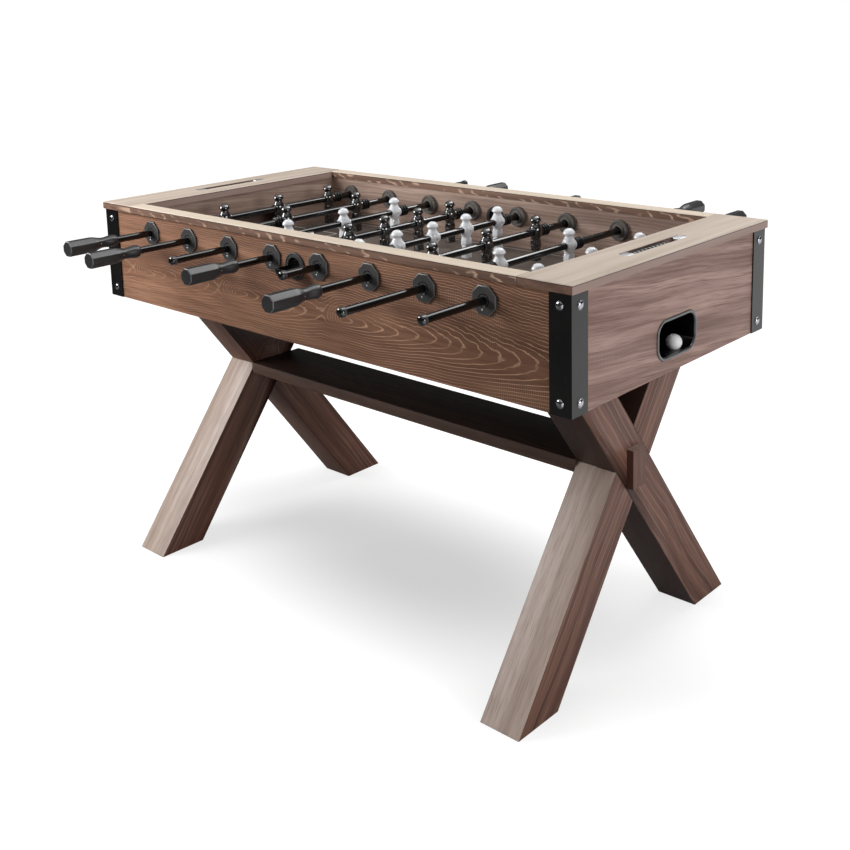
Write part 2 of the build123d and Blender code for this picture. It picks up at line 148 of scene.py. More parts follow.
def tone(red, green, blue):
    # a colour as it shows on a screen, 0 to 255
    shares = [value / 255 for value in (red, green, blue)]
    return tuple(s / 12.92 if s <= 0.04045 else ((s + 0.055) / 1.055) ** 2.4 for s in shares) + (1.0,)


def newFinish(name):
    finish = bpy.data.materials.new(name)
    finish.use_nodes = True
    tree = finish.node_tree
    place = tree.nodes.new("ShaderNodeTexCoord")
    return finish, tree.nodes["Principled BSDF"], Wire(tree, place.outputs["Object"])


def feed(shader, name, wire):
    wire.tree.links.new(wire.socket, shader.inputs[name])


def feedBump(shader, height, strength, distance):
    bump = height.node("Bump", {}, {"Strength": strength, "Distance": distance, "Height": height})
    feed(shader, "Normal", bump)


# Wood: growth lines that swell into tall arches, streaks, pores and crosswise saw marks
panelLook = {
    "dark": tone(98, 65, 49), "mid": tone(160, 116, 90), "line": tone(212, 168, 136),
    "rings": 204.0, "sway": 0.022, "jag": 0.0040, "lineShare": 0.90,  # rings to a metre, how they stray, how pale
    # saw marks, fine hairs, painted shade towards the right end, and roughness
    "saw": 0.50, "fine": 0.40, "rightShade": 0.5, "rough": 0.46,
    # heart line's height, where its arches start, their spacing, and the heart's depth there and beyond
    "heart": {"height": 0.722, "start": 0.138, "spacing": 0.342, "least": 0.0055, "right": 0.118, "left": 0.62,
              # rounding between its slopes, how it strays, and the share of the lines left of the arches
              "blend": 0.014, "wander": 0.05, "tilt": 0.024, "wave": 0.012, "faint": 0.55},
    # saw-marked patches: middle along and across the grain, then their reach
    "hatch": ((0.60, 0.660, 0.10, 0.030), (-0.54, 0.665, 0.12, 0.030), (0.40, 0.80, 0.16, 0.02)),
}
endLook = {
    "dark": tone(118, 87, 77), "mid": tone(194, 163, 152), "line": tone(204, 176, 165),
    "rings": 110.0, "sway": 0.030, "jag": 0.0060, "lineShare": 0.18,
    "saw": 0.40, "fine": 0.75, "rightShade": 0.0, "rough": 0.48,
    "heart": None,
    "hatch": ((0.15, 0.80, 0.14, 0.03), (-0.2, 0.70, 0.10, 0.03)),
}
wallLook = {
    "dark": tone(128, 104, 92), "mid": tone(190, 164, 149), "line": tone(212, 186, 170),
    "rings": 130.0, "sway": 0.030, "jag": 0.0050, "lineShare": 0.30,
    "saw": 0.2, "fine": 0.7, "rightShade": 0.0, "rough": 0.5,
    "heart": None,
    "hatch": (),
}
# scales of the marks along the grain, across it and into the board
figure = {
    "sway": (3.0, 6.0, 5.0), "jag": (46.0, 80.0, 70.0), "ground": (3.0, 20.0, 20.0), "bend": (5.0, 3.0, 1.0),
    "weight": (5.0, 30.0, 34.0), "streak": (1.3, 26.0, 26.0), "pore": (16.0, 420.0, 420.0),
    "patch": (7.0, 9.0, 9.0), "hair": (3.5, 150.0, 150.0), "sawPitch": 4.2 * mm,
}


def heartDepth(heart, along):
    # how deep the log's heart lies under the face: least at each start, then slowly deeper
    past = (along - heart["start"]) / heart["spacing"]
    share = past.fract()
    slow = share * (heart["right"] * heart["spacing"])
    steep = (1.0 - share) * (heart["left"] * heart["spacing"])
    early = past.maths("SMOOTH_MIN", slow, steep, heart["blend"])
    late = past.larger(0.0) * (heart["right"] * heart["spacing"])
    return heart["least"] + late + early * past.below(0.0)


def woodTones(place, look, along, across, depth):
    spot = (along, across, depth)
    heart = look["heart"]
    sway = place.noise(spot, figure["sway"]) - 0.5
    jag = place.noise(spot, figure["jag"]) - 0.5
    field = across + sway * look["sway"] + jag * look["jag"]
    ground = place.noise(spot, figure["ground"]).rise(0.35, 0.65)
    if heart:
        bend = place.noise(spot, figure["bend"], 1.0) - 0.5
        deep = heartDepth(heart, along + bend * heart["wander"]) + sway * heart["wave"] + jag * look["jag"]
        aside = field - heart["height"] + bend * heart["tilt"]
        field = reachOf(deep, aside)
    rings = (field * look["rings"]).fract()
    weight = place.noise(spot, figure["weight"]).rise(0.28, 0.60)
    lines = rings.band(0.70, 0.83, 0.86, 0.97) * (0.25 + weight * 0.75)
    if heart:
        lines = lines * (heart["faint"] + along.rise(-0.10, 0.15) * (1.0 - heart["faint"]))
    streaks = place.noise((along, across + sway * 0.04, depth), figure["streak"], 3.0, 0.6).rise(0.30, 0.70)
    pores = place.noise(spot, figure["pore"]).rise(0.50, 0.72)
    patches = place.noise(spot, figure["patch"], 1.0).rise(0.50, 0.72) * 0.5
    for middle, height, reach, size in look["hatch"]:
        patches = patches + bell((along - middle) / reach, (across - height) / size)
    teeth = (along + sway * 0.03 + jag * 0.006) * (2 * pi / figure["sawPitch"])
    saw = teeth.sine().rise(0.0, 0.9) * patches.rise(0.1, 0.8)
    hairs = place.noise((along, across + sway * 0.02, depth), figure["hair"], 3.0, 0.65).rise(0.44, 0.66)
    colour = place.mix(look["dark"], look["mid"], streaks * 0.75 + ground * 0.25)
    colour = place.mix(colour, look["dark"], hairs * look["fine"])
    # painted shade: the board darkens towards its right end
    colour = place.mix(colour, look["dark"], along.rise(0.05, 0.55) * look["rightShade"])
    colour = place.mix(colour, look["line"], lines * look["lineShare"])
    colour = place.mix(colour, look["line"], saw * look["saw"] * 0.6)
    colour = place.mix(colour, look["dark"], pores * 0.45)
    height = lines * 0.4 - pores * 0.6 + saw * 0.25
    rough = look["rough"] + pores * 0.12 - lines * 0.05
    return colour, rough, height


def woodFinish(name, look, grain, inner=None):
    finish, shader, place = newFinish(name)
    x, y, z = place.parts()
    along, across, depth = grain(x, y, z)
    colour, rough, height = woodTones(place, look, along, across, depth)
    if inner:
        facing = place.node("NewGeometry", {}, {}, "Normal").parts()[1] * y
        innerColour = woodTones(place, inner, along, across, depth)[0]
        colour = place.mix(colour, innerColour, facing.below(0.0))
    feed(shader, "Base Color", colour)
    feed(shader, "Roughness", rough)
    feedBump(shader, height, strength=0.25, distance=0.0004)
    shader.inputs["Specular IOR Level"].default_value = 0.3
    return finish


# Top boards: plain pale laminate above, brown edge bands with pale squiggles and a dark joint line
topLook = {
    "face": tone(208, 193, 179), "railFace": tone(224, 208, 189), "faceDark": tone(190, 174, 158),
    "edge": tone(134, 102, 84), "edgeDark": tone(100, 72, 58), "squiggle": tone(204, 170, 146),
    "endEdge": tone(164, 140, 131), "joint": tone(56, 44, 44),
    # heights of the joint line, where rails and end boards meet, and how sharp these lines are
    "jointTop": 0.8784, "jointLow": 0.8766, "seam": 0.593, "blur": 0.0002,
}


def topFinish(name, grain):
    finish, shader, place = newFinish(name)
    x, y, z = place.parts()
    along, across, depth = grain(x, y, z)
    edgeSpot = (along, z, across)
    blur = topLook["blur"]
    normal = place.node("NewGeometry", {}, {}, "Normal").parts()
    face = abs(normal[2]).rise(0.35, 0.8)
    fine = place.noise((along, across, depth), (3.0, 60.0, 60.0), 3.0)
    plain = place.mix(topLook["faceDark"], topLook["face"], fine.rise(0.3, 0.7))
    rails = 1.0 - abs(x).rise(topLook["seam"] - blur, topLook["seam"] + blur)
    plain = place.mix(plain, topLook["railFace"], rails * (0.5 + fine * 0.8))
    streaks = place.noise(edgeSpot, (3.0, 60.0, 20.0)).rise(0.3, 0.7)
    hook = place.noise(edgeSpot, (20.0, 70.0, 4.0), 1.5)
    curl = (along * 21.0 + z * 34.0 + hook * 1.6).fract()
    spots = place.noise(edgeSpot, (7.0, 60.0, 3.0), 1.0).rise(0.42, 0.56)
    squiggles = curl.band(0.62, 0.78, 0.84, 0.97) * spots
    edge = place.mix(topLook["edgeDark"], topLook["edge"], streaks)
    edge = place.mix(edge, topLook["squiggle"], squiggles * 0.85)
    seam = 1.0 - abs(abs(x) - topLook["seam"]).rise(0.0005, 0.0011)
    edge = place.mix(edge, topLook["joint"], seam * 0.85)
    ends = abs(normal[0]).rise(0.4, 0.8)
    edge = place.mix(edge, place.mix(topLook["endEdge"], topLook["edge"], streaks * 0.3), ends)
    jointLow, jointTop = topLook["jointLow"], topLook["jointTop"]
    joint = z.band(jointLow, jointLow + blur, jointTop, jointTop + blur)
    edge = place.mix(edge, topLook["joint"], joint * 0.8)
    feed(shader, "Base Color", place.mix(edge, plain, face))
    feed(shader, "Roughness", 0.38 + fine * 0.12)
    feedBump(shader, fine, strength=0.06, distance=0.0003)
    shader.inputs["Specular IOR Level"].default_value = 0.45
    return finish


# Legs: dark red-brown broad faces, paler worn edges, grain along each beam, and painted shade under the cabinet
legLook = {
    # side, under, deep and shade are painted shade: tenon side faces, undersides, narrow faces above the crossing,
    # inner faces up to the cabinet
    "dark": tone(86, 54, 43), "mid": tone(130, 93, 78), "pale": tone(166, 130, 114), "side": tone(84, 48, 38),
    "edgeDark": tone(160, 139, 127), "edge": tone(188, 169, 157), "under": tone(58, 41, 35),
    "deep": tone(58, 38, 31), "shade": tone(26, 17, 14),
}
# the stretcher board: the legs' look made much darker as painted shade from the cabinet above it
shadedBoardLook = {
    "dark": tone(32, 21, 17), "mid": tone(57, 39, 32), "pale": tone(104, 76, 62),
    "edgeDark": tone(78, 57, 48), "edge": tone(100, 76, 65), "under": tone(50, 36, 30),
    "deep": tone(36, 24, 20), "shade": tone(26, 17, 14),
}
upperLegs = 0.470  # height from which the beams are painted darker as shade


def legFinish(name, look, grain, broadAxis=0, tenon=False):
    finish, shader, place = newFinish(name)
    x, y, z = place.parts()
    along, across, depth = grain(x, y, z)
    spot = (along, across, depth)
    normal = place.node("NewGeometry", {}, {}, "True Normal").parts()
    broad = abs(normal[broadAxis]).rise(0.4, 0.8)
    if tenon:
        flank = abs(normal[1]).rise(0.4, 0.8)
        broad = broad.larger(flank)
    sway = place.noise(spot, (2.5, 9.0, 9.0)) - 0.5
    streaks = place.noise((along, across + sway * 0.05, depth), (1.6, 46.0, 30.0), 4.0, 0.65).rise(0.30, 0.70)
    lines = ((across + sway * 0.07) * 70.0).fract().band(0.66, 0.84, 0.88, 1.0)
    lines = lines * place.noise(spot, (3.0, 14.0, 14.0), 1.0).rise(0.40, 0.65)
    pores = place.noise(spot, (18.0, 420.0, 420.0)).rise(0.48, 0.72)
    wide = place.mix(look["dark"], look["mid"], streaks)
    wide = place.mix(wide, look["pale"], lines * 0.5)
    # painted shade: faces towards the table's middle darken up to the cabinet
    inner = (0.0 - normal[0] * x * 4.0).rise(0.2, 0.8) * z.rise(upperLegs - 0.03, upperLegs + 0.05)
    wide = place.mix(wide, look["shade"], inner * 0.85)
    wear = place.noise(spot, (2.2, 20.0, 48.0), 3.0, 0.6).rise(0.3, 0.7)
    narrow = place.mix(look["edgeDark"], look["edge"], wear)
    # painted shade on the undersides, lighter at the left end
    under = place.mix(look["under"], look["mid"], 1.0 - x.rise(-0.3, 0.3))
    down = (0.0 - normal[2]).rise(0.2, 0.5)
    narrow = place.mix(narrow, place.mix(under, look["dark"], streaks * 0.4), down)
    # painted shade: narrow faces above the crossing darken, undersides aside
    narrow = place.mix(narrow, look["deep"], z.rise(upperLegs, upperLegs + 0.005) * (1.0 - down))
    colour = place.mix(narrow, wide, broad)
    # painted shade: the tenons' side faces darker than their ends
    if tenon:
        colour = place.mix(colour, look["side"], flank)
    colour = place.mix(colour, look["dark"], pores * 0.35)
    feed(shader, "Base Color", colour)
    feed(shader, "Roughness", 0.45 + pores * 0.15)
    feedBump(shader, lines * 0.3 - pores * 0.6, strength=0.22, distance=0.0004)
    shader.inputs["Specular IOR Level"].default_value = 0.4
    return finish


# Playing surface: dark printed board with thin pale lines
fieldLook = {"ground": tone(84, 74, 68), "band": tone(98, 88, 81), "line": tone(214, 210, 204), "lineHalf": 0.0022,
             "circle": 0.085, "boxReach": 0.165, "boxHalf": 0.17, "goalReach": 0.075, "goalHalf": 0.125,
             "edgeX": 0.592, "edgeY": 0.30}


def fieldFinish(name):
    finish, shader, place = newFinish(name)
    x, y, z = place.parts()
    half = fieldLook["lineHalf"]
    fromMiddle = abs(x)
    fromAxis = abs(y)
    fromEnd = fieldLook["edgeX"] - fromMiddle

    def stroke(distance):
        return 1.0 - abs(distance).rise(half * 0.7, half * 1.2)

    def frameLine(reach, width):
        ends = stroke(fromEnd - reach) * fromAxis.below(width)
        return ends.larger(stroke(fromAxis - width) * fromEnd.below(reach))

    marks = stroke(fromMiddle)
    for more in (stroke(reachOf(x, y) - fieldLook["circle"]), frameLine(fieldLook["boxReach"], fieldLook["boxHalf"]),
                 frameLine(fieldLook["goalReach"], fieldLook["goalHalf"]), stroke(fromAxis - fieldLook["edgeY"])):
        marks = marks.larger(more)
    fibre = place.noise((x, y, z), (6.0, 160.0, 10.0), 3.0)
    streaks = place.noise((x, y, z), (2.0, 26.0, 1.0), 3.0).rise(0.3, 0.7)
    ground = place.mix(fieldLook["ground"], fieldLook["band"], streaks)
    feed(shader, "Base Color", place.mix(ground, fieldLook["line"], marks * 0.9))
    feed(shader, "Roughness", 0.34 + fibre * 0.14)
    feedBump(shader, fibre, strength=0.05, distance=0.0003)
    return finish


# Moulded, painted and plated finishes: a colour with fine mottling, and its gloss
moulded = {"cloud": 14.0, "bumpDeep": 0.0002, "coatRough": 0.06}


def plainFinish(name, colour, other, rough, grain, bump, metal=0.0, level=0.5, coat=0.0):
    finish, shader, place = newFinish(name)
    spot = place.parts()
    speck = place.noise(spot, (grain,) * 3)
    cloud = place.noise(spot, (moulded["cloud"],) * 3)
    feed(shader, "Base Color", place.mix(colour, other, (speck * 0.5 + cloud * 0.5).rise(0.35, 0.65)))
    feed(shader, "Roughness", rough * 0.8 + cloud * (rough * 0.4))
    feedBump(shader, speck, bump, moulded["bumpDeep"])
    shader.inputs["Metallic"].default_value = metal
    shader.inputs["Specular IOR Level"].default_value = level
    shader.inputs["Coat Weight"].default_value = coat
    shader.inputs["Coat Roughness"].default_value = moulded["coatRough"]
    return finish


# Grain of the boards: along it, across it and into the board
endSlope = 0.11  # the end panels' grain climbs a little


def panelGrain(x, y, z):
    return x, z, y


def endGrain(x, y, z):
    return y, z + y * endSlope, x


def flatGrain(x, y, z):
    return x, y, z


def endTopGrain(x, y, z):
    return y, x, z


finishes = {
    "panel": woodFinish("panelWood", panelLook, panelGrain, wallLook),
    "end": woodFinish("endWood", endLook, endGrain),
    "wall": woodFinish("goalWallWood", wallLook, endGrain),
    "rail": topFinish("railTop", flatGrain),
    "endTop": topFinish("endTop", endTopGrain),
    "field": fieldFinish("fieldBoard"),
    "board": plainFinish("innerBoard", tone(34, 28, 26), tone(44, 36, 33), 0.6, 900.0, 0.1),
    "angle": plainFinish("powderCoat", tone(9, 7, 6), tone(13, 11, 10), 0.28, 1500.0, 0.08, level=0.36),
    "rod": plainFinish("rodBlack", tone(5, 5, 6), tone(8, 8, 9), 0.10, 700.0, 0.01, level=0.6),
    "cap": plainFinish("capBlack", tone(4, 4, 5), tone(6, 6, 7), 0.06, 700.0, 0.0, coat=0.8),
    "bearing": plainFinish("bearingNylon", tone(50, 49, 49), tone(61, 59, 58), 0.45, 1200.0, 0.10, level=0.4),
    "pocket": plainFinish("pocketPlastic", tone(6, 6, 7), tone(9, 9, 10), 0.22, 900.0, 0.03, level=0.3),
    "rim": plainFinish("rimPlastic", tone(58, 56, 57), tone(70, 68, 68), 0.14, 900.0, 0.01, coat=0.3),
    # painted highlight for the bevel round each bearing flange
    "bearingRim": plainFinish("bearingRim", tone(92, 90, 88), tone(106, 103, 100), 0.35, 1200.0, 0.06),
    "sleeve": plainFinish("sleeveGrey", tone(58, 58, 62), tone(72, 72, 76), 0.30, 700.0, 0.03),
    "handle": plainFinish("handleGrip", tone(32, 31, 33), tone(40, 39, 41), 0.34, 1400.0, 0.08, level=0.6),
    # painted highlight for the rim round each handle's outer end
    "handleRim": plainFinish("handleRim", tone(112, 111, 113), tone(130, 128, 130), 0.32, 1400.0, 0.06),
    "blackMan": plainFinish("blackMan", tone(5, 5, 6), tone(8, 8, 9), 0.05, 300.0, 0.0, coat=1.0, level=1.0),
    "whiteMan": plainFinish("whiteMan", tone(226, 229, 234), tone(236, 238, 241), 0.20, 300.0, 0.02, coat=0.4),
    "rubber": plainFinish("bumperRubber", tone(14, 14, 15), tone(20, 20, 21), 0.34, 1500.0, 0.06, level=0.35),
    "bead": plainFinish("beadPlastic", tone(22, 22, 24), tone(30, 30, 32), 0.22, 900.0, 0.02),
    "ball": plainFinish("ballPlastic", tone(248, 248, 250), tone(252, 252, 253), 0.3, 700.0, 0.03),
    "steel": plainFinish("brightSteel", tone(186, 187, 190), tone(205, 206, 208), 0.45, 900.0, 0.02, metal=1.0),
    "nickel": plainFinish("blackNickel", tone(150, 150, 156), tone(166, 166, 172), 0.09, 900.0, 0.0, metal=1.0),
    "nut": plainFinish("nutNylon", tone(84, 80, 76), tone(104, 99, 94), 0.6, 1600.0, 0.2, level=0.3),
    "tick": plainFinish("tickPlastic", tone(200, 198, 194), tone(214, 212, 208), 0.35, 900.0, 0.02),
}
print("finishes made:", len(finishes))


# Mesh helpers
mergeWithin = 1e-6


def mergePoints(bm):
    bmesh.ops.remove_doubles(bm, verts=bm.verts, dist=mergeWithin)


def faceOutwards(bm):
    bmesh.ops.recalc_face_normals(bm, faces=bm.faces)


def soften(bm, edges, width, steps=2):
    return bmesh.ops.bevel(bm, geom=edges, offset=width, offset_type="OFFSET", affect="EDGES", segments=steps,
                           profile=0.5, material=-1, clamp_overlap=True)


def sharpEdges(bm, least):
    return [edge for edge in bm.edges if len(edge.link_faces) == 2 and edge.calc_face_angle() > radians(least)]


def smoothLine(points, perSpan):
    # a curve through the points, which may be of two or three numbers
    line = []
    last = len(points) - 1
    for at in range(last):
        p0, p1, p2, p3 = (Vector(points[min(max(at + step, 0), last)]) for step in (-1, 0, 1, 2))
        for part in range(perSpan):
            t = part / perSpan
            bend = (p1 * 2 + (p2 - p0) * t + (p0 * 2 - p1 * 5 + p2 * 4 - p3) * t * t
                    + (p1 * 3 - p0 - p2 * 3 + p3) * t * t * t)
            line.append(bend / 2)
    line.append(Vector(points[last]))
    return line


def turned(profile, axis, steps):
    # spins (distance along the axis, radius) about the axis through the origin
    bm = bmesh.new()
    side = Vector((axis.y, axis.z, axis.x))
    line = [bm.verts.new(axis * along + side * radius) for along, radius in profile]
    edges = [bm.edges.new(pair) for pair in zip(line, line[1:])]
    bmesh.ops.spin(bm, geom=line + edges, cent=(0, 0, 0), axis=axis, angle=2 * pi, steps=steps,
                   use_merge=True, use_duplicate=False)
    mergePoints(bm)
    faceOutwards(bm)
    return bm


def softBlock(size, width, steps):
    bm = bmesh.new()
    bmesh.ops.create_cube(bm, size=1.0)
    bmesh.ops.scale(bm, vec=size, verts=bm.verts)
    soften(bm, bm.edges[:], width, steps)
    return bm


def put(target, part, places):
    # adds copies of a finished shape at each place
    mesh = bpy.data.meshes.new("shape")
    part.to_mesh(mesh)
    part.free()
    for place in places:
        copy = mesh.copy()
        copy.transform(place)
        if place.determinant() < 0:
            copy.flip_normals()
        target.from_mesh(copy)
        bpy.data.meshes.remove(copy)
    bpy.data.meshes.remove(mesh)


def at(x, y, z):
    return Matrix.Translation((x, y, z))


halfTurn = Matrix.Rotation(pi, 4, "Z")


def newPiece(name, bm, finish, body, nodes=(), sharp=32):
    mesh = bpy.data.meshes.new(name)
    bm.to_mesh(mesh)
    bm.free()
    for part in finish.split():
        mesh.materials.append(finishes[part])
    mesh.shade_smooth()
    mesh.set_sharp_from_angle(angle=radians(sharp))
    piece = bpy.data.objects.new(name, mesh)
    bpy.context.scene.collection.objects.link(piece)
    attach(piece, body)
    if nodes:
        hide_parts(*nodes)
    return piece


def dress(node, finish):
    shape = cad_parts[node]
    shape.data.materials.clear()
    shape.data.materials.append(finishes[finish])


# Cabinet boards keep their solids and get their finish
boards = {
    "front_side_panel": "panel", "back_side_panel": "panel", "left_end_panel": "end", "right_end_panel": "end",
    "side_rails": "rail", "left_end_top": "endTop", "right_end_top": "endTop", "goal_walls": "wall",
    "playfield": "field", "bottom_panel": "board", "leg_cleats": "board", "ball_chutes": "pocket",
    "corner_angles": "angle", "leg_bolts": "steel",
}
for node, finish in boards.items():
    dress(node, finish)
panelLow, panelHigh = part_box("front_side_panel")
wallOut = -panelLow[1]
wallIn = -panelHigh[1]
print("cabinet dressed")


# Legs: copies of the solids with eased edges
legs = {"ease": 0.0012, "sharp": 30, "footSpread": 0.321, "crossing": 0.4232}
lean = Vector((0, legs["footSpread"], -legs["crossing"])).normalized()


def backFootGrain(x, y, z):
    return y * lean.y + z * lean.z, y * -lean.z + z * lean.y, x


def frontFootGrain(x, y, z):
    return z * lean.z - y * lean.y, y * lean.z + z * lean.y, x


def tenonGrain(x, y, z):
    return z, y, x


finishes["backFoot"] = legFinish("backFootWood", legLook, backFootGrain)
finishes["frontFoot"] = legFinish("frontFootWood", legLook, frontFootGrain)
finishes["stretcher"] = legFinish("stretcherWood", shadedBoardLook, flatGrain, broadAxis=2)
finishes["tenon"] = legFinish("tenonWood", legLook, tenonGrain, tenon=True)


def eased(node, finish):
    bm = bmesh.new()
    bm.from_mesh(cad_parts[node].data)
    mergePoints(bm)
    soften(bm, sharpEdges(bm, legs["sharp"]), legs["ease"])
    newPiece(node.title().replace("_", ""), bm, finish, "cabinet", [node], sharp=25)


for side in ("left", "right"):
    eased(side + "_back_foot_leg", "backFoot")
    eased(side + "_front_foot_leg", "frontFoot")


# Stretcher: a flat board between the crossings, with a tall tenon through each of them
stretcher = {"front": -70 * mm, "back": 92 * mm, "top": 429 * mm, "thick": 28 * mm, "round": 1.6 * mm}


def makeStretcher():
    low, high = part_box("stretcher")
    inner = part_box("right_back_foot_leg")[0][0]
    bm = bmesh.new()
    board = softBlock((inner * 2, stretcher["back"] - stretcher["front"], stretcher["thick"]), stretcher["round"], 3)
    put(bm, board, [at(0, (stretcher["front"] + stretcher["back"]) / 2, stretcher["top"] - stretcher["thick"] / 2)])
    newPiece("Stretcher", bm, "stretcher", "cabinet", ["stretcher"], sharp=25)
    tenons = bmesh.new()
    length = high[0] - inner
    tenon = softBlock((length, high[1] - low[1], high[2] - low[2]), stretcher["round"], 2)
    middle = (low[2] + high[2]) / 2
    put(tenons, tenon, [at(side * (inner + length / 2), 0, middle) for side in (-1, 1)])
    newPiece("StretcherTenons", tenons, "tenon", "cabinet", sharp=25)


makeStretcher()
print("legs and stretcher made")


# Dome screws of the corner angles
dome = {"radius": 8.6 * mm, "height": 4.0 * mm, "washer": 0.8 * mm, "lip": 0.7 * mm, "root": 1.0 * mm,
        "inset": 25 * mm, "steps": 7}


def domeScrew():
    profile = [(-dome["root"], 0.0), (-dome["root"], dome["radius"]), (dome["washer"], dome["radius"])]
    rise = dome["height"] - dome["washer"]
    base = dome["radius"] - dome["lip"]
    for step in range(dome["steps"] + 1):
        turn = step * pi / 2 / dome["steps"]
        profile.append((dome["washer"] + rise * sin(turn), base * cos(turn)))
    return turned(profile, alongTable, 28)


def cornerScrews():
    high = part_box("corner_angles")[1]
    screwLow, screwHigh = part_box("corner_screws")
    heights = (screwLow[2] + dome["radius"], screwHigh[2] - dome["radius"])
    bm = bmesh.new()
    places = []
    for height in heights:
        for x in (-1, 1):
            for y in (-1, 1):
                endPlace = at(x * high[0], y * (high[1] - dome["inset"]), height)
                sidePlace = at(x * (high[0] - dome["inset"]), y * high[1], height)
                places.append(endPlace @ (Matrix() if x > 0 else halfTurn))
                places.append(sidePlace @ Matrix.Rotation(y * pi / 2, 4, "Z"))
    put(bm, domeScrew(), places)
    newPiece("cornerScrews", bm, "nickel", "cabinet", ["corner_screws"])


cornerScrews()
print("screws placed")


# Rods with their men, rubbers and handles
rodMen = (3, 2, 3, 5, 5, 3, 2, 3)
whiteRods = (3, 5, 7, 8)
rod = {"radius": 8.0 * mm, "cap": 9.6 * mm, "capLength": 13 * mm, "capRound": 5.5 * mm, "sleeve": 6.5 * mm,
       "inCap": 0.5 * mm, "edgeLong": 0.7 * mm, "edgeDeep": 0.6 * mm, "capSteps": 6}
man = {"half": 16 * mm, "depth": 0.90, "boss": 11.2 * mm, "bossEdge": 1.2 * mm, "screw": 2.6 * mm,
       "screwHigh": 0.9 * mm,
       # height above the rod's axis and radius, from the crown to the waist, in mm
       "body": ((38.0, 0.0), (37.0, 5.6), (34.6, 9.6), (31.0, 12.6), (27.6, 14.0), (25.4, 13.6), (24.0, 11.4),
                (21.6, 9.9), (18.8, 9.9), (15.6, 11.6), (11.0, 14.2), (5.0, 15.9), (0.0, 16.0), (-6.0, 15.0),
                (-12.0, 12.8), (-17.0, 11.0), (-21.0, 10.2), (-22.0, 0.0)),
       "hip": (17 * mm, 20 * mm), "knee": (19 * mm, 23 * mm), "hipTop": -17 * mm, "kneeAt": -36 * mm,
       "shin": (14 * mm, 9.2 * mm), "foot": (17 * mm, 10.3 * mm), "footAt": -68 * mm,
       "hipRound": 3.2 * mm, "shinRound": 2.2 * mm, "shinLap": 3 * mm, "gap": 0.2 * mm}


def taperedBlock(top, bottom, high, low, width):
    bm = bmesh.new()
    bmesh.ops.create_cube(bm, size=1.0)
    for vert in bm.verts:
        size = top if vert.co.z > 0 else bottom
        vert.co = (vert.co.x * size[0], vert.co.y * size[1], high if vert.co.z > 0 else low)
    soften(bm, bm.edges[:], width, 3)
    return bm


def manShape():
    bm = bmesh.new()
    outline = smoothLine([(height * mm, radius * mm) for height, radius in man["body"]], 3)
    outline = [(height, max(radius, 0.0)) for height, radius in outline]
    body = turned(outline, upward, 36)
    bmesh.ops.scale(body, vec=(man["depth"], 1, 1), verts=body.verts)
    put(bm, body, [Matrix()])
    length = man["half"] - man["gap"]
    edge = man["bossEdge"]
    boss = [(-length, 0), (-length, man["boss"] - edge), (-length + edge, man["boss"]),
            (length - edge, man["boss"]), (length, man["boss"] - edge), (length, 0)]
    put(bm, turned(boss, acrossTable, 32), [Matrix()])
    put(bm, taperedBlock(man["hip"], man["knee"], man["hipTop"], man["kneeAt"], man["hipRound"]), [Matrix()])
    leg = taperedBlock(man["shin"], man["foot"], man["kneeAt"] + man["shinLap"], man["footAt"], man["shinRound"])
    apart = man["foot"][1] / 2 + man["gap"]
    put(bm, leg, [at(0, -apart, 0), at(0, apart, 0)])
    return bm


screwRoot = 2 * mm  # how far a small screw goes into what carries it


def screwHead(radius, height):
    low = height * 0.4
    return turned([(-screwRoot, 0), (-screwRoot, radius), (low, radius), (height, radius * 0.7),
                   (height, radius * 0.35), (low, radius * 0.3), (low, 0)], alongTable, 20)


def makeMen(index):
    low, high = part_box(f"men_{index}")
    x = (low[0] + high[0]) / 2
    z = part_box(f"rod_{index}")[0][2] + rod["cap"]
    count = rodMen[index - 1]
    first = low[1] + man["half"]
    step = (high[1] - low[1] - 2 * man["half"]) / (count - 1)
    white = index in whiteRods
    facing = Matrix() if white else halfTurn
    places = [at(x, first + step * number, z) @ facing for number in range(count)]
    bm = bmesh.new()
    put(bm, manShape(), places)
    newPiece(f"men{index}", bm, "whiteMan" if white else "blackMan", f"rod_{index}",
             [f"men_{index}"], sharp=40)
    screws = bmesh.new()
    depth = man["half"] * man["depth"]
    put(screws, screwHead(man["screw"], man["screwHigh"]), [place @ at(depth, 0, 0) for place in places])
    newPiece(f"menScrews{index}", screws, "steel", f"rod_{index}")
    return x, z


def makeRod(index, x, z):
    low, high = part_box(f"rod_{index}")
    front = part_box(f"handle_{index}")[0][1] < low[1]
    way = 1 if front else -1  # from the handle towards the plain end
    start = low[1] if front else -high[1]
    end = high[1] if front else -low[1]
    place = at(x, 0, z) @ (Matrix() if front else halfTurn)
    capStart = end - rod["capLength"]
    barEnd = capStart + rod["inCap"]
    bar = [(start, 0), (start, rod["radius"]), (barEnd, rod["radius"]), (barEnd, 0)]
    bm = bmesh.new()
    put(bm, turned(bar, acrossTable, 40), [place])
    newPiece(f"rodBar{index}", bm, "rod", f"rod_{index}", [f"rod_{index}"])
    capLine = [(capStart, 0), (capStart, rod["cap"] - rod["edgeDeep"]), (capStart + rod["edgeLong"], rod["cap"]),
               (capStart + rod["sleeve"], rod["cap"]), (end - rod["capRound"], rod["cap"])]
    for step in range(1, rod["capSteps"] + 1):
        turn = step * pi / 2 / rod["capSteps"]
        capLine.append((end - rod["capRound"] * (1 - sin(turn)), rod["cap"] - rod["capRound"] * (1 - cos(turn))))
    capLine.append((end, 0))
    cap = bmesh.new()
    shape = turned(capLine, acrossTable, 40)
    for face in shape.faces:
        if face.calc_center_median().y < capStart + rod["sleeve"]:
            face.material_index = 1
    put(cap, shape, [place])
    newPiece(f"rodCap{index}", cap, "cap sleeve", f"rod_{index}")
    return way


